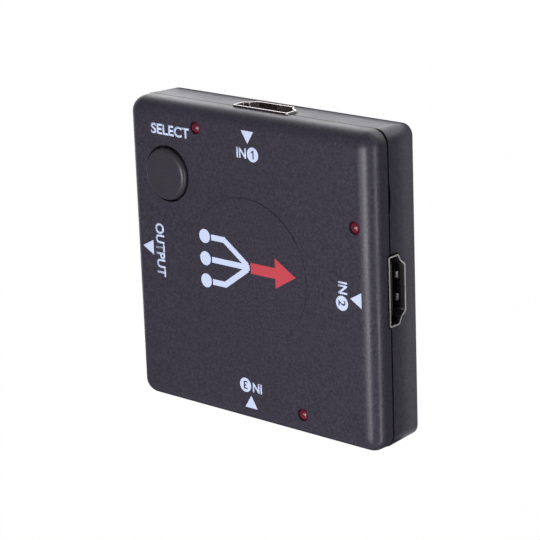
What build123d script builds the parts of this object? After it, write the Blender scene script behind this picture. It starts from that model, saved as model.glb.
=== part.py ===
from build123d import *
import math
import os

# A square selector box for video leads: two moulded shells around one circuit
# board, with a socket in each side, three lamps and one round push button.
# Millimetres. X points at input 2, Y at input 1, Z out of the printed face, and
# the origin is the middle of the flat back that the box lies on.

# Case
body_size = 66.0
body_thickness = 14.2
corner_radius = 3.5
face_edge_radius = 3.4
parting_height = 8.9  # the shells meet here
back_corner_radius = 2.8
back_draft = 2.7  # degrees that the back shell's sides lean in
back_edge_radius = 0.8
shell_step = 0.08  # the back shell stands in from the front shell
groove_height = 0.3
groove_depth = 0.6
wall = 1.8
face_wall = 2.0
lip_height = 1.2  # the front shell's inner lip drops into the back shell
lip_thickness = 0.7
lip_clearance = 0.08
disc_diameter = 31.3
disc_height = 0.25
pry_notch_length = 6.4
pry_notch_height = 0.5
pry_notch_depth = 1.0
pry_notch_y = 19.3

# Circuit board
board_size = 60.4
board_thickness = 1.6
board_top = 4.35
board_bottom = board_top - board_thickness

# Case screws
screw_pitch = 53.6
screw_head_diameter = 4.6
screw_head_height = 1.25
screw_head_recess = 1.4
screw_shank_diameter = 2.5
screw_length = 8.0
boss_diameter = 6.4
post_diameter = 5.4

# Sockets
socket_width = 14.6
socket_height = 5.15
socket_base = 4.4
socket_depth = 11.3
socket_sheet = 0.3
socket_flank_height = 2.1  # height at which the sides start to narrow
socket_knee = (5.95, 1.4)
socket_foot_half_width = 4.85
socket_corner_radius = 0.45
socket_gap = 0.3
tongue_width = 11.0
tongue_thickness = 1.2
tongue_base = 2.05
tongue_setback = 1.5
insulator_block_depth = 4.2
insulator_clearance = 0.03
contact_width = 0.3
contact_thickness = 0.14
contact_pitch = 1.0
front_row_count = 10
back_row_count = 9
finger_width = 2.0
finger_length = 5.2
finger_slit = 0.3
finger_rise = 0.4
finger_offset = 2.3
leg_width = 1.1
leg_reach = 0.85  # below the board
side_projection = 0.2  # of the sockets at input 2 and the output
end_projection = 0.35  # of the sockets at inputs 1 and 3

# Button and its switch
button_centre = (-21.7, 17.7)
button_diameter = 11.1
button_hole_diameter = 12.1
button_rise = 1.05
button_edge_radius = 0.9
button_skin = 1.3
button_flange_diameter = 13.6
button_flange_height = 0.8
button_flange_gap = 0.05
button_post_diameter = 4.4
button_rib = 0.9
switch_size = 6.0
switch_body_height = 3.3
switch_cover_thickness = 0.25
switch_height = 5.0
switch_leg_span = 6.5
switch_leg_pitch = 4.5
plunger_diameter = 3.4
plunger_foot_diameter = 4.2

# Lamps
lamp_positions = {"input_1": (-13.15, 28.55), "input_2": (28.5, 13.9), "input_3": (13.6, -28.1)}
lamp_diameter = 3.0
lamp_flange_diameter = 3.7
lamp_tip_rise = 0.25
lamp_straight_height = 2.8
lamp_hole_diameter = 2.7
lamp_hole_lip = 0.5
lamp_seat_diameter = 3.3
lead_size = 0.5
lead_pitch = 2.54
lead_reach = 0.8

# Each socket's side, as an angle round Z from +X, how far it stands out, and its shift to its own left
sides = {
    "input_2": (0, side_projection, 0.3),
    "input_1": (90, end_projection, -0.6),
    "output": (180, side_projection, 0),
    "input_3": (270, end_projection, 0),
}

os.makedirs("parts", exist_ok=True)


def keep(shape, name):
    """Labels a finished piece and writes it under that name."""
    shape.label = name
    export_step(shape, f"parts/{name}.step")


# The socket's D-shaped outline: X across it, Y up from its foot
with BuildSketch() as socket_outline:
    with BuildLine():
        Polyline(
            (-socket_width / 2, socket_height),
            (-socket_width / 2, socket_flank_height),
            (-socket_knee[0], socket_knee[1]),
            (-socket_foot_half_width, 0),
            (socket_foot_half_width, 0),
            (socket_knee[0], socket_knee[1]),
            (socket_width / 2, socket_flank_height),
            (socket_width / 2, socket_height),
            close=True,
        )
    make_face()
    fillet(socket_outline.vertices(), socket_corner_radius)


def mouth_plane(x, height=socket_base):
    """A plane square to the way a plug goes in at +X, with its X across the socket and its Y up."""
    return Plane(origin=(x, 0, height), x_dir=(0, 1, 0), z_dir=(1, 0, 0))


half_body = body_size / 2
board_edge = board_size / 2
mouth = half_body  # the socket's mouth before its projection is added
rear = mouth - socket_depth
back_size_at_parting = body_size - 2 * shell_step
groove_floor = back_size_at_parting - 2 * groove_depth
screw_offsets = (-screw_pitch / 2, screw_pitch / 2)
screw_points = [(x, y) for x in screw_offsets for y in screw_offsets]

# The hole that each socket looks out of, cut from both shells
with BuildPart() as socket_window:
    with BuildSketch(mouth_plane(half_body - wall - 2)):
        add(socket_outline.sketch)
        offset(amount=socket_gap)
    extrude(amount=wall + 5)
windows = [
    Rotation(0, 0, angle) * Pos(0, shift, 0) * socket_window.part for angle, _, shift in sides.values()
]

# Front shell: the printed face with its deep round edge, disc, button hole and lamp holes
inner_size = body_size - 2 * wall
lip_size = inner_size - 2 * lip_clearance
lip_inside = lip_size - 2 * lip_thickness
inner_corner_radius = corner_radius - wall * 0.8
face_inside = body_thickness - face_wall
with BuildPart() as front_shell:
    with BuildSketch(Plane.XY.offset(parting_height)):
        RectangleRounded(body_size, body_size, corner_radius)
    extrude(amount=body_thickness - parting_height)
    fillet(front_shell.faces().sort_by(Axis.Z)[-1].edges(), face_edge_radius)
    with BuildSketch(Plane.XY.offset(body_thickness)):
        Circle(disc_diameter / 2)
    extrude(amount=disc_height)
    chamfer(front_shell.faces().sort_by(Axis.Z)[-1].edges(), disc_height * 0.5)
    with BuildSketch(Plane.XY.offset(parting_height)):
        RectangleRounded(inner_size, inner_size, inner_corner_radius)
    extrude(amount=face_inside - parting_height, mode=Mode.SUBTRACT)
    with BuildSketch(Plane.XY.offset(parting_height - lip_height)):
        RectangleRounded(lip_size, lip_size, inner_corner_radius)
        RectangleRounded(lip_inside, lip_inside, inner_corner_radius - lip_thickness, mode=Mode.SUBTRACT)
    extrude(amount=lip_height + 1.5)
    # a web under the lip's top joins it to the wall
    with BuildSketch(Plane.XY.offset(parting_height + 0.3)):
        RectangleRounded(inner_size + 0.4, inner_size + 0.4, inner_corner_radius)
        RectangleRounded(lip_inside, lip_inside, inner_corner_radius - lip_thickness, mode=Mode.SUBTRACT)
    extrude(amount=1.2)
    # posts that press the board down and take the screws
    with BuildSketch(Plane.XY.offset(board_top)):
        with Locations(*screw_points):
            Circle(post_diameter / 2)
    extrude(amount=face_inside - board_top + 0.5)
    with BuildSketch(Plane.XY.offset(board_top)):
        with Locations(*screw_points):
            Circle(screw_shank_diameter / 2)
    extrude(amount=screw_length - 1.4, mode=Mode.SUBTRACT)
    # button hole
    with BuildSketch(Plane.XY.offset(face_inside - 1)):
        with Locations(button_centre):
            Circle(button_hole_diameter / 2)
    extrude(amount=face_wall + 2, mode=Mode.SUBTRACT)
    # lamp holes, each with a seat behind a thin lip
    with BuildSketch(Plane.XY.offset(face_inside - 1)):
        with Locations(*lamp_positions.values()):
            Circle(lamp_hole_diameter / 2)
    extrude(amount=face_wall + 2, mode=Mode.SUBTRACT)
    with BuildSketch(Plane.XY.offset(face_inside - 0.5)):
        with Locations(*lamp_positions.values()):
            Circle(lamp_seat_diameter / 2)
    extrude(amount=face_wall - lamp_hole_lip + 0.5, mode=Mode.SUBTRACT)
    for window in windows:
        add(window, mode=Mode.SUBTRACT)
keep(front_shell.part, "front_shell")

# Back shell: a drafted tray with the board's bosses, screw recesses and the parting groove
with BuildPart() as back_shell:
    with BuildSketch(Plane.XY.offset(parting_height)):
        RectangleRounded(back_size_at_parting, back_size_at_parting, back_corner_radius)
    extrude(amount=-parting_height, taper=back_draft)
    fillet(back_shell.faces().sort_by(Axis.Z)[0].edges(), back_edge_radius)
    with BuildSketch(Plane.XY.offset(parting_height)):
        RectangleRounded(inner_size, inner_size, inner_corner_radius)
    extrude(amount=wall - parting_height, taper=back_draft, mode=Mode.SUBTRACT)
    # the lip of the front shell stands in this rebate
    with BuildSketch(Plane.XY.offset(parting_height - lip_height - 0.2)):
        RectangleRounded(inner_size, inner_size, inner_corner_radius)
    extrude(amount=lip_height + 0.2, mode=Mode.SUBTRACT)
    # shadow groove round the parting line
    with BuildSketch(Plane.XY.offset(parting_height - groove_height)):
        Rectangle(body_size + 2, body_size + 2)
        RectangleRounded(groove_floor, groove_floor, back_corner_radius - groove_depth, mode=Mode.SUBTRACT)
    extrude(amount=groove_height + 1, mode=Mode.SUBTRACT)
    # a shallow curved notch under the groove lets a blade part the shells
    notch_top = parting_height - groove_height
    with BuildSketch(Plane(origin=(half_body + 1, pry_notch_y, notch_top), x_dir=(0, 1, 0), z_dir=(1, 0, 0))):
        with BuildLine():
            half_notch = pry_notch_length / 2
            notch = ThreePointArc((-half_notch, 0), (0, -pry_notch_height), (half_notch, 0))
            Line(notch @ 1, notch @ 0)
        make_face()
    extrude(amount=-1 - pry_notch_depth, mode=Mode.SUBTRACT)
    # bosses under the board
    with BuildSketch(Plane.XY.offset(wall / 2)):
        with Locations(*screw_points):
            Circle(boss_diameter / 2)
    extrude(amount=board_bottom - wall / 2)
    with BuildSketch(Plane.XY.offset(wall / 2)):
        with Locations((0, 12), (0, -12)):
            Rectangle(24, 1.2)
    extrude(amount=board_bottom - wall / 2)
    with BuildSketch(Plane.XY):
        with Locations(*screw_points):
            Circle((screw_head_diameter + 0.6) / 2)
    extrude(amount=screw_head_recess, mode=Mode.SUBTRACT)
    with BuildSketch(Plane.XY):
        with Locations(*screw_points):
            Circle((screw_shank_diameter + 0.5) / 2)
    extrude(amount=board_bottom + 1, mode=Mode.SUBTRACT)
    for window in windows:
        add(window, mode=Mode.SUBTRACT)
keep(back_shell.part, "back_shell")

# Case screws: four pan heads with a cross recess
with BuildPart() as case_screws:
    with BuildSketch(Plane.XY.offset(screw_head_recess)):
        with Locations(*screw_points):
            Circle(screw_head_diameter / 2)
    extrude(amount=-screw_head_height, taper=25)
    with BuildSketch(Plane.XY.offset(screw_head_recess)):
        with Locations(*screw_points):
            Circle(screw_shank_diameter / 2)
    extrude(amount=screw_length)
    with BuildSketch(Plane.XY.offset(screw_head_recess - screw_head_height - 0.1)):
        with Locations(*screw_points):
            Rectangle(2.6, 0.55)
            Rectangle(0.55, 2.6)
    extrude(amount=1.0, mode=Mode.SUBTRACT)
keep(case_screws.part, "case_screws")

# Contacts of one socket, in two staggered rows, from the tongue down to the board
tongue_top = socket_base + tongue_base + tongue_thickness
tongue_foot = socket_base + tongue_base
contact_tip = mouth - tongue_setback - 0.5
strip = contact_thickness


def contact_outline(surface, sign, tail, foot):
    """One contact seen from its side: along the tongue, out at the rear, down, and a foot on the board."""
    outer = surface + sign * strip * 0.5
    inner = outer - sign * strip
    upper, lower = max(outer, inner), min(outer, inner)
    with BuildSketch() as outline:
        with BuildLine():
            Polyline(
                (contact_tip, upper),
                (rear - tail, upper),
                (rear - tail, board_top + strip),
                (rear - tail - foot, board_top + strip),
                (rear - tail - foot, board_top),
                (rear - tail + strip, board_top),
                (rear - tail + strip, lower),
                (contact_tip, lower),
                close=True,
            )
        make_face()
    return outline.sketch


with BuildPart() as contacts:
    for count, surface, sign, tail, foot in (
        (front_row_count, tongue_top, 1, 0.7, 0.9),
        (back_row_count, tongue_foot, -1, 0.4, 1.2),
    ):
        for i in range(count):
            y = (i - (count - 1) / 2) * contact_pitch + contact_width / 2
            with BuildSketch(Plane(origin=(0, y, 0), x_dir=(1, 0, 0), z_dir=(0, -1, 0))):
                add(contact_outline(surface, sign, tail, foot))
            extrude(amount=contact_width)

# Insulator of one socket: a block that fills the rear and a tongue between the rows
with BuildPart() as insulator:
    with BuildSketch(mouth_plane(rear)):
        add(socket_outline.sketch)
        offset(amount=-socket_sheet - insulator_clearance, mode=Mode.REPLACE)
    extrude(amount=insulator_block_depth)
    with BuildSketch(mouth_plane(rear, tongue_foot)):
        with Locations((0, tongue_thickness / 2)):
            Rectangle(tongue_width, tongue_thickness)
    extrude(amount=socket_depth - tongue_setback)
    chamfer(insulator.faces().sort_by(Axis.X)[-1].edges().filter_by(Axis.Y), 0.35)
    add(contacts.part, mode=Mode.SUBTRACT)

# Metal shell of one socket: a folded sheet with spring fingers, a seam and four legs
with BuildPart() as socket_shell:
    with BuildSketch(mouth_plane(rear)):
        add(socket_outline.sketch)
        offset(amount=-socket_sheet, mode=Mode.SUBTRACT)
    extrude(amount=socket_depth)
    # seam in the narrow wall
    with BuildSketch(Plane.XY.offset(socket_base - 0.1)):
        with Locations((mouth - socket_depth / 2, 0)):
            Rectangle(socket_depth + 1, 0.1)
    extrude(amount=socket_sheet + 0.2, mode=Mode.SUBTRACT)
    # slits that free two fingers in each broad wall
    finger_root = mouth - 1.3 - finger_length
    for base in (socket_base - 0.1, socket_base + socket_height - socket_sheet - 0.1):
        with BuildSketch(Plane.XY.offset(base)):
            for side in (-finger_offset, finger_offset):
                with Locations((finger_root + finger_length / 2, side)):
                    Rectangle(finger_length, finger_width)
                with Locations((finger_root + finger_length / 2 - finger_slit / 2, side)):
                    Rectangle(
                        finger_length - finger_slit, finger_width - 2 * finger_slit, mode=Mode.SUBTRACT
                    )
        extrude(amount=socket_sheet + 0.2, mode=Mode.SUBTRACT)
    # the fingers' pressed ridges, which stand inwards
    ridge_end = mouth - 1.3 - finger_slit
    ridge_start = ridge_end - 2.2
    half_ridge = finger_width / 2 - finger_slit
    for base, way in ((socket_base + socket_sheet, 1), (socket_base + socket_height - socket_sheet, -1)):
        for side in (-finger_offset, finger_offset):
            ridge_plane = Plane(origin=(0, side + half_ridge, base), x_dir=(1, 0, 0), z_dir=(0, -1, 0))
            with BuildSketch(ridge_plane):
                with BuildLine():
                    ridge = ThreePointArc(
                        (ridge_start, -way * 0.05),
                        ((ridge_start + ridge_end) / 2, way * finger_rise),
                        (ridge_end, -way * 0.05),
                    )
                    Line(ridge @ 1, ridge @ 0)
                make_face()
            extrude(amount=2 * half_ridge)
    # legs that go through the board
    leg_height = socket_flank_height + 0.6 + socket_base - (board_bottom - leg_reach)
    for side in (-1, 1):
        leg_y = side * (socket_width / 2 - socket_sheet / 2)
        with BuildSketch(Plane.XY.offset(board_bottom - leg_reach)):
            with Locations((mouth - 4.6, leg_y), (rear + 1.2, leg_y)):
                Rectangle(leg_width, socket_sheet)
        extrude(amount=leg_height)

for name, (angle, projection, shift) in sides.items():
    place = Rotation(0, 0, angle) * Pos(projection, shift, 0)
    keep(place * socket_shell.part, f"{name}_socket_shell")
    keep(place * insulator.part, f"{name}_insulator")
    keep(place * contacts.part, f"{name}_contacts")

# Circuit board with its screw holes, leg slots and lead holes
leg_slots = []
for angle, projection, shift in sides.values():
    for along in (mouth - 4.6, rear + 1.2):
        for side in (-1, 1):
            spot = Vector(along + projection, shift + side * (socket_width / 2 - socket_sheet / 2), 0)
            spot = spot.rotate(Axis.Z, angle)
            leg_slots.append((spot.X, spot.Y))
lead_points = [(x + s * lead_pitch / 2, y) for x, y in lamp_positions.values() for s in (-1, 1)]
switch_leg_points = [
    (button_centre[0] + sx * switch_leg_span / 2, button_centre[1] + sy * switch_leg_pitch / 2)
    for sx in (-1, 1)
    for sy in (-1, 1)
]
with BuildPart() as circuit_board:
    with BuildSketch(Plane.XY.offset(board_bottom)):
        RectangleRounded(board_size, board_size, 1.5)
        with Locations(*screw_points):
            Circle((screw_shank_diameter + 0.6) / 2, mode=Mode.SUBTRACT)
        with Locations(*leg_slots):
            Rectangle(leg_width + 0.3, leg_width + 0.3, mode=Mode.SUBTRACT)
        with Locations(*lead_points):
            Rectangle(lead_size + 0.3, lead_size + 0.3, mode=Mode.SUBTRACT)
        with Locations(*switch_leg_points):
            Rectangle(0.6, 1.0, mode=Mode.SUBTRACT)
    extrude(amount=board_thickness)
keep(circuit_board.part, "circuit_board")

# Push button: a hollow round cap with a retaining flange, ribs and a central post
button_top = body_thickness + button_rise
flange_top = face_inside - button_flange_gap
flange_foot = flange_top - button_flange_height
plunger_top = board_top + switch_height
with BuildPart() as select_button:
    with BuildSketch(Plane.XY.offset(flange_foot)):
        with Locations(button_centre):
            Circle(button_diameter / 2)
    extrude(amount=button_top - flange_foot)
    fillet(select_button.faces().sort_by(Axis.Z)[-1].edges(), button_edge_radius)
    with BuildSketch(Plane.XY.offset(flange_foot)):
        with Locations(button_centre):
            Circle(button_flange_diameter / 2)
    extrude(amount=button_flange_height)
    with BuildSketch(Plane.XY.offset(flange_foot)):
        with Locations(button_centre):
            Circle(button_diameter / 2 - button_skin)
    extrude(amount=button_top - button_skin - flange_foot, mode=Mode.SUBTRACT)
    with BuildSketch(Plane.XY.offset(flange_foot)):
        with Locations(button_centre):
            Rectangle(button_diameter - 2 * button_skin + 0.4, button_rib)
            Rectangle(button_rib, button_diameter - 2 * button_skin + 0.4)
    extrude(amount=button_top - button_skin - flange_foot + 0.2)
    with BuildSketch(Plane.XY.offset(plunger_top)):
        with Locations(button_centre):
            Circle(button_post_diameter / 2)
    extrude(amount=button_top - button_skin - plunger_top + 0.2)
keep(select_button.part, "select_button")

# Switch under the button: base, steel cover, snap dome, legs and the plunger that the cap rests on
cover_foot = board_top + switch_body_height
plunger_foot = board_top + 1.4
with BuildPart() as switch_base:
    with BuildSketch(Plane.XY.offset(board_top)):
        with Locations(button_centre):
            Rectangle(switch_size, switch_size)
    extrude(amount=switch_body_height)
    chamfer(switch_base.edges().filter_by(Axis.Z), 0.5)
    with BuildSketch(Plane.XY.offset(board_top + 0.9)):
        with Locations(button_centre):
            Circle(plunger_foot_diameter / 2 + 0.2)
    extrude(amount=switch_body_height, mode=Mode.SUBTRACT)
keep(switch_base.part, "switch_base")

with BuildPart() as switch_cover:
    with BuildSketch(Plane.XY.offset(cover_foot)):
        with Locations(button_centre):
            Rectangle(switch_size, switch_size)
            Circle(plunger_diameter / 2 + 0.08, mode=Mode.SUBTRACT)
    extrude(amount=switch_cover_thickness)
    chamfer(switch_cover.edges().filter_by(Axis.Z).sort_by(SortBy.LENGTH)[:4], 0.5)
keep(switch_cover.part, "switch_cover")

with BuildPart() as switch_plunger:
    with BuildSketch(Plane.XY.offset(plunger_foot)):
        with Locations(button_centre):
            Circle(plunger_foot_diameter / 2)
    extrude(amount=cover_foot - plunger_foot - 0.03)
    with BuildSketch(Plane.XY.offset(plunger_foot)):
        with Locations(button_centre):
            Circle(plunger_diameter / 2)
    extrude(amount=plunger_top - plunger_foot)
keep(switch_plunger.part, "switch_plunger")

dome_foot = board_top + 0.9
dome_height = plunger_foot - dome_foot
dome_radius = 1.95
dome_sheet = 0.12
dome_crown = 0.9  # radius of the flat crown that the plunger rests on
dome_plane = Plane(origin=(button_centre[0], button_centre[1], dome_foot), x_dir=(1, 0, 0), z_dir=(0, -1, 0))
with BuildPart() as switch_dome:
    with BuildSketch(dome_plane):
        with BuildLine():
            Polyline(
                (0, dome_height),
                (dome_crown, dome_height),
                (dome_radius, 0),
                (dome_radius - 2 * dome_sheet, 0),
                (dome_crown, dome_height - dome_sheet),
                (0, dome_height - dome_sheet),
                close=True,
            )
        make_face()
    revolve(axis=Axis((button_centre[0], button_centre[1], 0), (0, 0, 1)))
keep(switch_dome.part, "switch_dome")

with BuildPart() as switch_legs:
    with BuildSketch(Plane.XY.offset(board_bottom - lead_reach)):
        with Locations(*switch_leg_points):
            Rectangle(0.3, 0.7)
    extrude(amount=board_thickness + lead_reach + 1.2)
keep(switch_legs.part, "switch_legs")

# Lamps: a round-nosed lens with a flange, on two leads
lamp_nose = body_thickness + lamp_tip_rise
lamp_shoulder = lamp_nose - lamp_diameter / 2
lamp_foot = lamp_shoulder - lamp_straight_height - 1.0
for name, (x, y) in lamp_positions.items():
    with BuildPart() as lamp:
        with BuildSketch(Plane(origin=(x, y, 0), x_dir=(1, 0, 0), z_dir=(0, -1, 0))):
            with BuildLine():
                nose = RadiusArc((0, lamp_nose), (lamp_diameter / 2, lamp_shoulder), lamp_diameter / 2)
                Polyline(
                    nose @ 1,
                    (lamp_diameter / 2, lamp_foot + 1.0),
                    (lamp_flange_diameter / 2, lamp_foot + 1.0),
                    (lamp_flange_diameter / 2, lamp_foot),
                    (0, lamp_foot),
                    nose @ 0,
                )
            make_face()
        revolve(axis=Axis((x, y, 0), (0, 0, 1)))
    keep(lamp.part, f"{name}_lamp")
with BuildPart() as lamp_leads:
    with BuildSketch(Plane.XY.offset(board_bottom - lead_reach)):
        with Locations(*lead_points):
            Rectangle(lead_size, lead_size)
    extrude(amount=lamp_foot - board_bottom + lead_reach)
keep(lamp_leads.part, "lamp_leads")

# Selector chip with leads on four sides, and the small controller with leads on two
chip_size = 7.0
chip_height = 1.4
chip_leads_per_side = 8
chip_lead_pitch = 0.8
chip_lead_width = 0.35
controller_centre = (9.5, 10.5)
controller_size = (4.9, 3.9)
controller_height = 1.45
controller_lead_pitch = 1.27
chip_lift = 0.1


def gull_wing(start, knee, reach, thickness):
    """A lead seen from its side: out of the package, down and out along the board."""
    middle = board_top + chip_lift + chip_height * 0.45
    with BuildSketch() as outline:
        with BuildLine():
            Polyline(
                (start, middle),
                (start + knee, middle),
                (start + knee, board_top + thickness),
                (start + reach, board_top + thickness),
                (start + reach, board_top),
                (start + knee - thickness, board_top),
                (start + knee - thickness, middle - thickness),
                (start, middle - thickness),
                close=True,
            )
        make_face()
    return outline.sketch


with BuildPart() as selector_chip:
    with BuildSketch(Plane.XY.offset(board_top + chip_lift)):
        Rectangle(chip_size, chip_size)
    extrude(amount=chip_height)
    chamfer(selector_chip.faces().sort_by(Axis.Z)[-1].edges(), 0.15)
keep(selector_chip.part, "selector_chip")

with BuildPart() as selector_chip_leads:
    for angle in range(0, 360, 90):
        direction = Vector(1, 0, 0).rotate(Axis.Z, angle)
        across = Vector(0, 1, 0).rotate(Axis.Z, angle)
        for i in range(chip_leads_per_side):
            shift = (i - (chip_leads_per_side - 1) / 2) * chip_lead_pitch + chip_lead_width / 2
            with BuildSketch(Plane(origin=across * shift, x_dir=direction, z_dir=-across)):
                add(gull_wing(chip_size / 2, 0.5, 1.0, 0.14))
            extrude(amount=chip_lead_width)
keep(selector_chip_leads.part, "selector_chip_leads")

with BuildPart() as controller_chip:
    with BuildSketch(Plane.XY.offset(board_top + chip_lift)):
        with Locations(controller_centre):
            Rectangle(*controller_size)
    extrude(amount=controller_height)
    chamfer(controller_chip.faces().sort_by(Axis.Z)[-1].edges(), 0.15)
keep(controller_chip.part, "controller_chip")

with BuildPart() as controller_chip_leads:
    for side in (-1, 1):
        for i in range(4):
            x = controller_centre[0] + (i - 1.5) * controller_lead_pitch
            lead_plane = Plane(
                origin=(x - side * 0.2, controller_centre[1], 0), x_dir=(0, side, 0), z_dir=(side, 0, 0)
            )
            with BuildSketch(lead_plane):
                add(gull_wing(controller_size[1] / 2, 0.5, 1.05, 0.2))
            extrude(amount=0.4)
keep(controller_chip_leads.part, "controller_chip_leads")

# Chip resistors in rows behind each socket and capacitors beside the selector chip
resistor_size = (0.8, 1.6)
capacitor_size = (2.0, 1.25)
with BuildPart() as chip_resistors:
    for angle, _, _ in sides.values():
        spots = [Vector(rear - 4.6, (i - 2.5) * 1.7, 0).rotate(Axis.Z, angle) for i in range(6)]
        with BuildSketch(Plane.XY.offset(board_top)):
            with Locations(*[Location((s.X, s.Y, 0), (0, 0, angle + 90)) for s in spots]):
                Rectangle(*resistor_size)
        extrude(amount=0.45)
keep(chip_resistors.part, "chip_resistors")

with BuildPart() as chip_capacitors:
    with BuildSketch(Plane.XY.offset(board_top)):
        with Locations((-9.5, 9.0), (-9.5, 11.5), (-9.5, -9.0), (-9.5, -11.5), (9.5, -9.0), (9.5, -11.5)):
            Rectangle(*capacitor_size)
        with Locations((-20, -19), (-20, -21.5), (20, -19), (20, -21.5), (20, 19), (20, 21.5)):
            Rectangle(*capacitor_size)
    extrude(amount=1.0)
keep(chip_capacitors.part, "chip_capacitors")
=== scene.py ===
import math

import bmesh
import bpy
from mathutils import Euler, Matrix, Vector


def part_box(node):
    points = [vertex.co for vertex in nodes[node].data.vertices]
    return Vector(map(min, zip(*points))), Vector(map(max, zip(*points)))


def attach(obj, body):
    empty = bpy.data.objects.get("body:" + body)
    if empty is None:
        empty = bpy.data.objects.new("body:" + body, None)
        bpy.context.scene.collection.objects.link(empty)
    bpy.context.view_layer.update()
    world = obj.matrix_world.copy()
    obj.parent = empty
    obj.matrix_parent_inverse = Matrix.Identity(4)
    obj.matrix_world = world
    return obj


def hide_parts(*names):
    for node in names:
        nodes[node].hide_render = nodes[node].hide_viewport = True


mm = 0.001
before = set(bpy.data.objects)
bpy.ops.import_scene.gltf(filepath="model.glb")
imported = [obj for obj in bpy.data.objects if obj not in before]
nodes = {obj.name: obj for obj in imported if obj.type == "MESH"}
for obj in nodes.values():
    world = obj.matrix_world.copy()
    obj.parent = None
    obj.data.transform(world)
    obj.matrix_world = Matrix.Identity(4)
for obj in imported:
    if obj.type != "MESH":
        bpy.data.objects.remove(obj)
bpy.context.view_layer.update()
scene = bpy.context.scene
print("frame loaded:", len(nodes), "nodes")

discRise = 0.25 * mm
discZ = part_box("front_shell")[1].z  # top of the raised disc
faceZ = discZ - discRise  # top of the flat face around it
partingZ = 8.9 * mm


def addNode(tree, kind, **values):
    node = tree.nodes.new(kind)
    for name, value in values.items():
        if name in node.inputs:
            node.inputs[name].default_value = value
        else:
            setattr(node, name, value)
    return node


def noiseOn(tree, where, size, detail=2.0, roughness=0.55):
    noise = addNode(tree, "ShaderNodeTexNoise")
    noise.inputs["Scale"].default_value = 1.0 / size
    noise.inputs["Detail"].default_value = detail
    noise.inputs["Roughness"].default_value = roughness
    tree.links.new(where, noise.inputs["Vector"])
    return noise.outputs["Fac"]


def remap(tree, value, fromLow, fromHigh, toLow, toHigh):
    node = addNode(tree, "ShaderNodeMapRange")
    limits = {"From Min": fromLow, "From Max": fromHigh, "To Min": toLow, "To Max": toHigh}
    for socket, number in limits.items():
        node.inputs[socket].default_value = number
    tree.links.new(value, node.inputs["Value"])
    return node.outputs["Result"]


def mixColour(tree, factor, first, second):
    node = addNode(tree, "ShaderNodeMix", data_type="RGBA")
    tree.links.new(factor, node.inputs["Factor"])
    for socket, colour in ((node.inputs[6], first), (node.inputs[7], second)):
        if isinstance(colour, bpy.types.NodeSocket):
            tree.links.new(colour, socket)
        else:
            socket.default_value = (*colour, 1)
    return node.outputs[2]


blotch = 9 * mm  # size of the broad mottling on every finish
# near-black colour painted into the parting-line groove as shade
seamShade = {"inner": 0.18 * mm, "outer": 0.22 * mm, "colour": (0.003, 0.003, 0.004)}


def finish(name, colour, roughness=0.5, metallic=0.0, grain=0.3 * mm, grainDepth=0.0, mottle=0.08,
           roughSpread=0.05, wear=None, stretch=None, coat=0.0, specular=0.5, seam=None):
    # one procedural finish: two sizes of mottling, a grain that bumps, and roughness that follows it
    material = bpy.data.materials.new(name)
    material.use_nodes = True
    tree = material.node_tree
    shader = tree.nodes["Principled BSDF"]
    shader.inputs["Metallic"].default_value = metallic
    shader.inputs["Coat Weight"].default_value = coat
    shader.inputs["Specular IOR Level"].default_value = specular
    where = addNode(tree, "ShaderNodeTexCoord").outputs["Object"]
    if stretch:
        mapping = addNode(tree, "ShaderNodeMapping")
        mapping.inputs["Scale"].default_value = stretch
        tree.links.new(where, mapping.inputs["Vector"])
        where = mapping.outputs["Vector"]
    fine = noiseOn(tree, where, grain, 3.0)
    broad = noiseOn(tree, where, blotch, 2.0)
    darker = tuple(c * (1 - mottle) for c in colour)
    lighter = tuple(min(1.0, c * (1 + mottle)) for c in colour)
    shade = mixColour(tree, remap(tree, fine, 0.3, 0.7, 0, 1), darker, lighter)
    shade = mixColour(tree, remap(tree, broad, 0.35, 0.7, 0, 0.35), shade, darker)
    if wear:
        specks = remap(tree, noiseOn(tree, where, wear["size"], 1.0), wear["from"], wear["to"], 0, 1)
        shade = mixColour(tree, specks, shade, wear["colour"])
    if seam:  # painted shade where the two halves meet: the groove drawn near black and without specular
        height = addNode(tree, "ShaderNodeSeparateXYZ")
        tree.links.new(where, height.inputs[0])
        inner, outer = seamShade["inner"], seamShade["outer"]
        above = remap(tree, height.outputs["Z"], seam - outer, seam - inner, 0, 1)
        below = remap(tree, height.outputs["Z"], seam + inner, seam + outer, 1, 0)
        inside = addNode(tree, "ShaderNodeMath", operation="MULTIPLY")
        tree.links.new(above, inside.inputs[0])
        tree.links.new(below, inside.inputs[1])
        # painted shade mixed into the colour along the seam, with the specular taken out there too
        shade = mixColour(tree, inside.outputs[0], shade, seamShade["colour"])
        gloss = remap(tree, inside.outputs[0], 0, 1, specular, 0)
        tree.links.new(gloss, shader.inputs["Specular IOR Level"])
    tree.links.new(shade, shader.inputs["Base Color"])
    rough = remap(tree, broad, 0.3, 0.7, roughness - roughSpread, roughness + roughSpread)
    tree.links.new(rough, shader.inputs["Roughness"])
    if grainDepth:
        bump = addNode(tree, "ShaderNodeBump")
        bump.inputs["Strength"].default_value = 1.0
        bump.inputs["Distance"].default_value = grainDepth
        tree.links.new(fine, bump.inputs["Height"])
        tree.links.new(bump.outputs["Normal"], shader.inputs["Normal"])
    return material


def dress(name, material):
    node = nodes[name]
    node.data.materials.clear()
    node.data.materials.append(material)


def smoothByAngle(mesh, degrees=40):
    mesh.shade_smooth()
    mesh.set_sharp_from_angle(angle=math.radians(degrees))


def meshPiece(name, mesh, material, body="case"):
    # the mesh already holds the piece's place, so its object stays at the origin
    piece = bpy.data.objects.new(name, mesh)
    scene.collection.objects.link(piece)
    mesh.materials.clear()
    mesh.materials.append(material)
    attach(piece, body)
    return piece


# finishes

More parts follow.
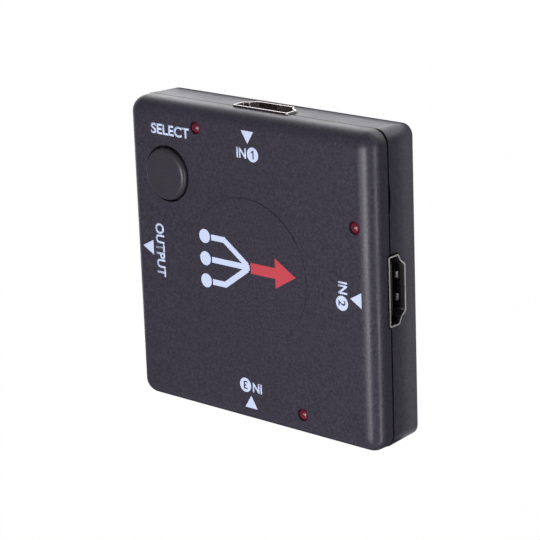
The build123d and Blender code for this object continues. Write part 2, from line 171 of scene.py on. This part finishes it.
dust = {"size": 0.45 * mm, "from": 0.76, "to": 0.80, "colour": (0.075, 0.072, 0.092)}
# both shells get painted shade along the parting line through seam=partingZ
frontPlastic = finish("front_matt_plastic", (0.036, 0.032, 0.046), 0.33, grain=0.5 * mm,
                      grainDepth=0.022 * mm, mottle=0.4, wear=dust, specular=0.34, seam=partingZ)
backPlastic = finish("back_matt_plastic", (0.032, 0.029, 0.043), 0.34, grain=0.5 * mm,
                     grainDepth=0.018 * mm, mottle=0.45, wear=dust, specular=0.3, seam=partingZ)
buttonPlastic = finish("button_matt_plastic", (0.036, 0.031, 0.041), 0.34, grain=0.3 * mm,
                       grainDepth=0.008 * mm, mottle=0.25, specular=0.36)
# the sockets' nickel, painted darker than the other steel as shade so the shells' insides read dark
shadedSocketSteel = finish("socket_nickel_sheet_painted_shade", (0.34, 0.32, 0.31), 0.30, 1.0, grain=0.25 * mm,
                     grainDepth=0.002 * mm, stretch=(1, 1, 6))
# the same nickel painted near white as a highlight on the socket mouths' rims
highlitRimSteel = finish("socket_nickel_rim_painted_highlight", (0.92, 0.86, 0.86), 0.5, 1.0, grain=0.2 * mm,
                  grainDepth=0.002 * mm, mottle=0.05)
springSteel = finish("sprung_steel", (0.62, 0.61, 0.60), 0.28, 1.0, grain=0.2 * mm,
                     grainDepth=0.001 * mm, mottle=0.05)
screwSteel = finish("screw_zinc_plate", (0.42, 0.42, 0.45), 0.33, 1.0, grain=0.18 * mm,
                    grainDepth=0.003 * mm, mottle=0.1)
socketPlastic = finish("socket_moulded_black", (0.010, 0.010, 0.011), 0.42, grain=0.2 * mm,
                       grainDepth=0.003 * mm)
contactGold = finish("contact_gold_flash", (0.80, 0.58, 0.24), 0.22, 1.0, grain=0.15 * mm,
                     grainDepth=0.001 * mm, mottle=0.06)
boardMask = finish("board_solder_mask", (0.012, 0.085, 0.035), 0.3, grain=0.7 * mm,
                   grainDepth=0.004 * mm, mottle=0.22, coat=0.3)
switchPlastic = finish("switch_moulded_black", (0.014, 0.014, 0.015), 0.5, grain=0.2 * mm,
                       grainDepth=0.003 * mm)
tinned = finish("tinned_copper", (0.66, 0.66, 0.67), 0.3, 1.0, grain=0.2 * mm, grainDepth=0.003 * mm)
epoxy = finish("chip_epoxy", (0.018, 0.018, 0.019), 0.55, grain=0.12 * mm, grainDepth=0.004 * mm)
ceramic = finish("capacitor_ceramic", (0.30, 0.19, 0.10), 0.45, grain=0.15 * mm, grainDepth=0.003 * mm)
resistorCoat = finish("resistor_coat", (0.02, 0.02, 0.022), 0.35, grain=0.15 * mm,
                      grainDepth=0.002 * mm)
whiteInk = finish("white_ink", (0.56, 0.63, 0.84), 0.5, grainDepth=0.003 * mm, mottle=0.06)
redInk = finish("red_ink", (0.50, 0.045, 0.062), 0.5, grainDepth=0.003 * mm)
darkInk = finish("dark_ink", (0.030, 0.028, 0.036), 0.52, grainDepth=0.003 * mm)


def lensFinish(name, colour):
    # tinted clear resin, a little cloudy
    material = finish(name, colour, 0.20, grain=0.4 * mm, grainDepth=0.001 * mm, mottle=0.15,
                      roughSpread=0.03)
    shader = material.node_tree.nodes["Principled BSDF"]
    shader.inputs["Transmission Weight"].default_value = 0.3
    shader.inputs["IOR"].default_value = 1.5
    return material


lampLens = lensFinish("lamp_red_resin", (0.17, 0.010, 0.025))

for name, material in {
    "front_shell": frontPlastic, "back_shell": backPlastic, "select_button": buttonPlastic,
    "case_screws": screwSteel, "circuit_board": boardMask, "switch_base": switchPlastic,
    "switch_plunger": switchPlastic, "switch_cover": springSteel, "switch_dome": springSteel,
    "switch_legs": tinned, "lamp_leads": tinned, "selector_chip": epoxy, "controller_chip": epoxy,
    "selector_chip_leads": tinned, "controller_chip_leads": tinned, "chip_resistors": resistorCoat,
    "chip_capacitors": ceramic,
}.items():
    dress(name, material)
for port in ("input_1", "input_2", "input_3", "output"):
    dress(port + "_insulator", socketPlastic)
    dress(port + "_contacts", contactGold)
for port in ("input_1", "input_2", "input_3"):
    dress(port + "_lamp", lampLens)
print("finishes on the CAD nodes")

# sockets' folded metal shells

socketShell = {"edge": 0.09 * mm, "segments": 2, "rimDepth": 0.12 * mm}
outward = {"input_2": Vector((1, 0, 0)), "input_1": Vector((0, 1, 0)), "output": Vector((-1, 0, 0)),
           "input_3": Vector((0, -1, 0))}
for port, way in outward.items():
    mesh = nodes[port + "_socket_shell"].data.copy()
    mesh.name = port + "_socket_metal"
    sheet = bmesh.new()
    sheet.from_mesh(mesh)
    bmesh.ops.remove_doubles(sheet, verts=sheet.verts, dist=0.002 * mm)
    bmesh.ops.dissolve_limit(sheet, angle_limit=math.radians(2), verts=sheet.verts, edges=sheet.edges)
    sheet.to_mesh(mesh)
    sheet.free()
    piece = meshPiece(port + "_socket_metal", mesh, shadedSocketSteel)
    # faces round the mouth take the painted-highlight nickel; the rest of the shell keeps the painted-shade
    # nickel
    mesh.materials.append(highlitRimSteel)
    mouth = max(v.co.dot(way) for v in mesh.vertices)
    for polygon in mesh.polygons:
        if polygon.normal.dot(way) > 0.9 and polygon.center.dot(way) > mouth - socketShell["rimDepth"]:
            polygon.material_index = 1
    edges = piece.modifiers.new("soft_edges", "BEVEL")
    edges.width = socketShell["edge"]
    edges.segments = socketShell["segments"]
    edges.limit_method = "ANGLE"
    edges.angle_limit = math.radians(50)
    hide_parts(port + "_socket_shell")
print("sockets dressed")

# prints on the face

inkThickness = 0.012 * mm
words = {
    "select": {"text": "SELECT", "centre": (-20.4, 27.05), "width": 10.9, "height": 2.3, "turn": 0},
    "output": {"text": "OUTPUT", "centre": (-24.85, 0.65), "width": 11.7, "height": 2.5, "turn": -90},
    "in_1": {"text": "IN", "centre": (-0.65, 25.05), "width": 2.6, "height": 2.2, "turn": 0},
    "in_2": {"text": "IN", "centre": (25.1, 1.1), "width": 2.6, "height": 2.3, "turn": -90},
    "in_3": {"text": "IN", "centre": (1.25, -24.95), "width": 2.55, "height": 2.15, "turn": 180},
}
roundels = {
    "1": {"centre": (2.45, 25.0), "radius": 1.52, "turn": 0},
    "2": {"centre": (24.85, -2.1), "radius": 1.55, "turn": -90},
    "3": {"centre": (-2.0, -24.8), "radius": 1.55, "turn": 180},
}
digitSize = (1.15, 1.8)
arrows = {
    "input_1": {"tip": (1.15, 27.1), "base": ((-0.5, 29.75), (2.85, 29.75))},
    "input_2": {"tip": (27.0, -0.75), "base": ((29.85, 0.85), (29.85, -2.4))},
    "input_3": {"tip": (-0.5, -26.9), "base": ((-2.25, -29.65), (1.15, -29.65))},
    "output": {"tip": (-29.9, 0.9), "base": ((-26.85, 2.5), (-26.85, -0.75))},
}


def textMesh(name, text, heavier):
    curve = bpy.data.curves.new(name, "FONT")
    curve.body = text
    curve.size = 1.0
    curve.offset = heavier  # fattens the strokes
    curve.align_x = "CENTER"
    curve.align_y = "CENTER"
    curve.resolution_u = 6
    holder = bpy.data.objects.new(name + "_curve", curve)
    scene.collection.objects.link(holder)
    bpy.context.view_layer.update()
    mesh = bpy.data.meshes.new_from_object(holder.evaluated_get(bpy.context.evaluated_depsgraph_get()))
    bpy.data.objects.remove(holder)
    return mesh


def layInk(name, mesh, centre, width, height, turn, z, material):
    # fits a flat mesh to the given width and height, turns it, and lays it on the face
    low = Vector(min(v.co[i] for v in mesh.vertices) for i in range(3))
    high = Vector(max(v.co[i] for v in mesh.vertices) for i in range(3))
    size = high - low
    middle = (low + high) / 2
    fit = Matrix.Diagonal((width * mm / size.x, height * mm / size.y, 1, 1))
    spot = Matrix.Translation((centre[0] * mm, centre[1] * mm, z))
    spin = Matrix.Rotation(math.radians(turn), 4, "Z")
    mesh.transform(spot @ spin @ fit @ Matrix.Translation(-middle))
    return solidInk(name, mesh, material)


def solidInk(name, mesh, material):
    piece = meshPiece(name, mesh, material)
    modifier = piece.modifiers.new("thickness", "SOLIDIFY")
    modifier.thickness = inkThickness
    modifier.offset = 1
    return piece


def flatShape(name, outlines, z, material):
    # closed outlines in millimetres, each one a face of its own
    mesh = bpy.data.meshes.new(name)
    corners, faces = [], []
    for outline in outlines:
        area = sum(a[0] * b[1] - b[0] * a[1] for a, b in zip(outline, outline[1:] + outline[:1]))
        ordered = outline if area > 0 else outline[::-1]
        faces.append(range(len(corners), len(corners) + len(ordered)))
        corners += [(x * mm, y * mm, z) for x, y in ordered]
    mesh.from_pydata(corners, [], faces)
    return solidInk(name, mesh, material)


def circlePoints(centre, radius, count=48):
    return [(centre[0] + radius * math.cos(2 * math.pi * i / count),
             centre[1] + radius * math.sin(2 * math.pi * i / count)) for i in range(count)]


for name, word in words.items():
    glyphs = textMesh(name, word["text"], heavier=0.028)
    layInk("print_" + name, glyphs, word["centre"], word["width"], word["height"], word["turn"], faceZ,
           whiteInk)
for number, spot in roundels.items():
    flatShape("roundel_" + number, [circlePoints(spot["centre"], spot["radius"])], faceZ, whiteInk)
    if number == "1":  # a plain stroke with a flag
        x, y = spot["centre"]
        one = [(x - 0.02, y - 0.9), (x + 0.30, y - 0.9), (x + 0.30, y + 0.9), (x + 0.05, y + 0.9),
               (x - 0.42, y + 0.52), (x - 0.42, y + 0.24), (x - 0.02, y + 0.46)]
        flatShape("numeral_1", [one], faceZ + inkThickness, darkInk)
        continue
    digit = textMesh("digit_" + number, number, heavier=0.015)
    layInk("numeral_" + number, digit, spot["centre"], *digitSize, spot["turn"], faceZ + inkThickness,
           darkInk)
for name, arrow in arrows.items():
    flatShape("arrow_" + name, [[arrow["tip"], *arrow["base"]]], faceZ, whiteInk)

# a plain picture of what the box does: three lines come in and one goes out
sign = {"inX": -11.6, "inY": (5.9, 1.1, -3.7), "dot": 1.5, "gap": 0.35, "line": 1.25, "bendX": -6.2,
        "joinX": 1.0, "tipX": 13.1, "headX": 7.6, "headHalf": 3.2, "shaft": 2.3}
signLayer = 0.002 * mm  # the lines lie over each other where they meet


def lineOutline(points, width):
    # outline of a bent line, mitred at its bends
    path = [Vector(p) for p in points]
    left, right = [], []
    for i, point in enumerate(path):
        before = (point - path[i - 1]).normalized() if i else None
        after = (path[i + 1] - point).normalized() if i < len(path) - 1 else None
        along = ((before or after) + (after or before)).normalized()
        across = Vector((-along.y, along.x))
        reach = width / 2 / max(0.4, across.dot(Vector((-(after or before).y, (after or before).x))))
        left.append(tuple(point + across * reach))
        right.append(tuple(point - across * reach))
    return right + left[::-1]


middleY = sign["inY"][1]
for i, y in enumerate(sign["inY"], 1):
    start = sign["inX"] + sign["dot"] + sign["gap"]
    flatShape(f"sign_dot_{i}", [circlePoints((sign["inX"], y), sign["dot"])], discZ, whiteInk)
    if y == middleY:
        run = [(start, y), (sign["joinX"] - sign["gap"], y)]
    else:
        bend, end = Vector((sign["bendX"], y)), Vector((sign["joinX"] - sign["gap"], middleY))
        stop = end - (end - bend).normalized() * 2 * sign["gap"]
        run = [(start, y), tuple(bend), tuple(stop)]
    flatShape(f"sign_line_{i}", [lineOutline(run, sign["line"])], discZ + i * signLayer, whiteInk)
x, half, shaft = sign["headX"], sign["headHalf"], sign["shaft"] / 2
outArrow = [(sign["joinX"], middleY - shaft), (x, middleY - shaft), (x, middleY - half),
            (sign["tipX"], middleY), (x, middleY + half), (x, middleY + shaft),
            (sign["joinX"], middleY + shaft)]
flatShape("sign_arrow", [outArrow], discZ, redInk)
print("prints laid on the face")

# inside the lamps

cup = {"radius": 0.85, "wall": 0.12, "depth": 0.75, "bowl": 0.25, "bowlRadius": 0.3, "stem": 0.225,
       "stemFoot": 0.1, "belowTip": 2.3, "axis": 0.02}


def lathe(name, profile, centre, material, body="case", sides=32):
    # turns a profile of (radius, height) in millimetres round an upright axis
    mesh = bpy.data.meshes.new(name)
    corners, faces = [], []
    for r, z in profile:
        for i in range(sides):
            angle = 2 * math.pi * i / sides
            corners.append((centre[0] + r * mm * math.cos(angle), centre[1] + r * mm * math.sin(angle), z))
    for row in range(len(profile) - 1):
        for i in range(sides):
            j = (i + 1) % sides
            a, b = row * sides, (row + 1) * sides
            faces.append((a + i, a + j, b + j, b + i))
    mesh.from_pydata(corners, [], faces)
    smoothByAngle(mesh)
    return meshPiece(name, mesh, material, body)


for port in ("input_1", "input_2", "input_3"):
    low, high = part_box(port + "_lamp")
    centre = (low + high) / 2
    rimZ = high.z - cup["belowTip"] * mm
    floorZ = rimZ - cup["depth"] * mm
    bowlZ = floorZ + cup["bowl"] * mm
    footZ = low.z + cup["stemFoot"] * mm
    profile = [(cup["axis"], footZ), (cup["stem"], footZ), (cup["stem"], floorZ), (cup["radius"], floorZ),
               (cup["radius"], rimZ), (cup["radius"] - cup["wall"], rimZ), (cup["bowlRadius"], bowlZ),
               (cup["axis"], bowlZ)]
    lathe(port + "_lamp_cup", profile, centre, tinned)
print("lamps filled")

# solder on the board's underside

solder = {"footRadius": 0.85 * mm, "tipRadius": 0.28 * mm, "height": 0.65 * mm, "segments": 16,
          "rings": 4}
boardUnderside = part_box("circuit_board")[0].z


def solderTree(material):
    tree = bpy.data.node_groups.new("solder_fillets", "GeometryNodeTree")
    face = tree.interface
    face.new_socket("Geometry", in_out="INPUT", socket_type="NodeSocketGeometry")
    ids = {}
    for label in ("Foot Radius", "Tip Radius", "Height"):
        ids[label] = face.new_socket(label, in_out="INPUT", socket_type="NodeSocketFloat").identifier
    face.new_socket("Geometry", in_out="OUTPUT", socket_type="NodeSocketGeometry")
    into, out = tree.nodes.new("NodeGroupInput"), tree.nodes.new("NodeGroupOutput")
    cone = tree.nodes.new("GeometryNodeMeshCone")
    cone.inputs["Vertices"].default_value = solder["segments"]
    cone.inputs["Side Segments"].default_value = solder["rings"]
    tree.links.new(into.outputs["Foot Radius"], cone.inputs["Radius Bottom"])
    tree.links.new(into.outputs["Tip Radius"], cone.inputs["Radius Top"])
    tree.links.new(into.outputs["Height"], cone.inputs["Depth"])
    place = tree.nodes.new("GeometryNodeInstanceOnPoints")
    flip = tree.nodes.new("FunctionNodeInputVector")
    flip.vector = (math.pi, 0, 0)
    tree.links.new(into.outputs["Geometry"], place.inputs["Points"])
    tree.links.new(cone.outputs["Mesh"], place.inputs["Instance"])
    tree.links.new(flip.outputs["Vector"], place.inputs["Rotation"])
    realize = tree.nodes.new("GeometryNodeRealizeInstances")
    paint = tree.nodes.new("GeometryNodeSetMaterial")
    paint.inputs["Material"].default_value = material
    tree.links.new(place.outputs["Instances"], realize.inputs["Geometry"])
    tree.links.new(realize.outputs["Geometry"], paint.inputs["Geometry"])
    tree.links.new(paint.outputs["Geometry"], out.inputs["Geometry"])
    return tree, ids


def islandCentres(name):
    # middles of the separate solids in a node, from the corners that share a place
    mesh = nodes[name].data
    owner, groups = {}, []
    for polygon in mesh.polygons:
        keys = [tuple(round(c * 1e6) for c in mesh.vertices[i].co) for i in polygon.vertices]
        found = {owner[k] for k in keys if k in owner}
        group = min(found) if found else len(groups)
        if not found:
            groups.append(set())
        for other in found - {group}:
            for k in groups[other]:
                owner[k] = group
            groups[group] |= groups[other]
            groups[other] = set()
        for k in keys:
            owner[k] = group
            groups[group].add(k)
    centres = []
    for group in groups:
        if group:
            low = [min(k[i] for k in group) for i in range(3)]
            high = [max(k[i] for k in group) for i in range(3)]
            centres.append(tuple((a + b) / 2 * 1e-6 for a, b in zip(low, high)))
    return centres


legPoints = islandCentres("lamp_leads") + islandCentres("switch_legs")
socketLegs = {"mouthOffset": 4.6 * mm, "rearOffset": 10.1 * mm, "side": 7.15 * mm}
for port, way in outward.items():
    low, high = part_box(port + "_socket_shell")
    reach = max(low.dot(way), high.dot(way))
    across = Vector((-way.y, way.x, 0))
    shift = (low + high).dot(across) / 2  # how far the socket sits from the middle of its side
    for back in (socketLegs["mouthOffset"], socketLegs["rearOffset"]):
        for side in (-socketLegs["side"], socketLegs["side"]):
            legPoints.append(tuple(way * (reach - back) + across * (shift + side)))
fillets = bpy.data.meshes.new("solder_points")
fillets.from_pydata([(x, y, boardUnderside) for x, y, z in legPoints], [], [])
holder = bpy.data.objects.new("solder_holder", fillets)
scene.collection.objects.link(holder)
tree, ids = solderTree(tinned)
modifier = holder.modifiers.new("solder", "NODES")
modifier.node_group = tree
modifier[ids["Foot Radius"]] = solder["footRadius"]
modifier[ids["Tip Radius"]] = solder["tipRadius"]
modifier[ids["Height"]] = solder["height"]
bpy.context.view_layer.update()
solderMesh = bpy.data.meshes.new_from_object(holder.evaluated_get(bpy.context.evaluated_depsgraph_get()))
bpy.data.objects.remove(holder)
smoothByAngle(solderMesh)
meshPiece("solder_fillets", solderMesh, tinned)
print("solder fillets:", len(legPoints))

# floor, light and camera


def layCard(name, low, high, z, paint):
    # a flat rectangle of the stage
    mesh = bpy.data.meshes.new(name)
    (x0, y0), (x1, y1) = low, high
    mesh.from_pydata([(x0, y0, z), (x1, y0, z), (x1, y1, z), (x0, y1, z)], [], [(0, 1, 2, 3)])
    mesh.materials.append(paint)
    card = bpy.data.objects.new(name, mesh)
    scene.collection.objects.link(card)
    return card


# black cards beside the box keep the white sweep out of its sides; the camera looks past them
cards = {"right": ((0.036, -0.15), (0.20, 0.05)), "below": ((-0.15, -0.20), (0.036, -0.036))}
cardZ = 0.3 * mm
cardPaint = bpy.data.materials.new("black_card")
cardPaint.use_nodes = True
cardShader = cardPaint.node_tree.nodes["Principled BSDF"]
cardShader.inputs["Base Color"].default_value = (0.02, 0.02, 0.022, 1)
cardShader.inputs["Roughness"].default_value = 0.9
for name, (low, high) in cards.items():
    layCard("card_" + name, low, high, cardZ, cardPaint).visible_camera = False

floorPaint = bpy.data.materials.new("white_sweep")
floorPaint.use_nodes = True
tree = floorPaint.node_tree
tree.nodes.clear()
path = addNode(tree, "ShaderNodeLightPath")
share = addNode(tree, "ShaderNodeMath", operation="MULTIPLY")
share.inputs[1].default_value = 0.995
tree.links.new(path.outputs["Is Camera Ray"], share.inputs[0])
matt = addNode(tree, "ShaderNodeBsdfDiffuse", Color=(0.9, 0.9, 0.9, 1))
white = addNode(tree, "ShaderNodeEmission", Color=(1, 1, 1, 1), Strength=1.0)
blend = addNode(tree, "ShaderNodeMixShader")
tree.links.new(share.outputs[0], blend.inputs[0])
tree.links.new(matt.outputs[0], blend.inputs[1])
tree.links.new(white.outputs[0], blend.inputs[2])
output = addNode(tree, "ShaderNodeOutputMaterial")
tree.links.new(blend.outputs[0], output.inputs["Surface"])
floorHalf = 3.0
layCard("floor", (-floorHalf, -floorHalf), (floorHalf, floorHalf), 0, floorPaint)

world = bpy.data.worlds.new("studio")
world.use_nodes = True
scene.world = world
tree = world.node_tree
tree.nodes.clear()
path = addNode(tree, "ShaderNodeLightPath")
around = addNode(tree, "ShaderNodeBackground", Color=(0.80, 0.80, 0.92, 1), Strength=0.24)
white = addNode(tree, "ShaderNodeBackground", Color=(1, 1, 1, 1), Strength=1.0)
blend = addNode(tree, "ShaderNodeMixShader")
tree.links.new(path.outputs["Is Camera Ray"], blend.inputs[0])
tree.links.new(around.outputs[0], blend.inputs[1])
tree.links.new(white.outputs[0], blend.inputs[2])
output = addNode(tree, "ShaderNodeOutputWorld")
tree.links.new(blend.outputs[0], output.inputs["Surface"])

lamps = {
    "side_strip": {"at": (0.54, -0.16, 0.042), "size": (0.06, 0.9), "power": 1.75},
    "over_strip": {"at": (0.105, -0.09, 0.30), "size": (0.026, 0.45), "power": 0.36},
    "key_box": {"at": (0.12, -0.05, 0.54), "size": (0.3, 0.3), "power": 1.9},
    "spark": {"at": (-0.09, -0.03, 0.40), "size": (0.05, 0.05), "power": 0.20},
    "light_table": {"at": (-0.01, 0.0421, 0.0006), "size": (0.10, 0.018), "power": 0.0072, "facesUp": True},
}
for name, lamp in lamps.items():
    data = bpy.data.lights.new(name, "AREA")
    data.shape = "RECTANGLE"
    data.size, data.size_y = lamp["size"]
    data.energy = lamp["power"]
    light = bpy.data.objects.new(name, data)
    scene.collection.objects.link(light)
    light.location = lamp["at"]
    if lamp.get("facesUp"):
        light.rotation_euler = (math.pi, 0, 0)
        light.visible_camera = False
        continue
    way = (Vector(lamp["at"]) - Vector((0, 0, 0.01))).normalized()
    side = Vector((0, 1, 0)).cross(way).normalized()
    upright = way.cross(side)  # the lamp's long side stays near Y
    light.rotation_euler = Matrix((side, upright, way)).transposed().to_euler()

camera = bpy.data.cameras.new("camera")
camera.sensor_width = 36
camera.lens = 153.46
camera.clip_start = 0.05
camera.clip_end = 20
cameraObject = bpy.data.objects.new("camera", camera)
scene.collection.objects.link(cameraObject)
cameraObject.location = (304.99 * mm, 135.56 * mm, 345.64 * mm)
cameraObject.rotation_euler = Euler([math.radians(a) for a in (-18.517, 41.410, -2.707)])
scene.camera = cameraObject
scene.view_settings.view_transform = "Standard"
print("stage ready")
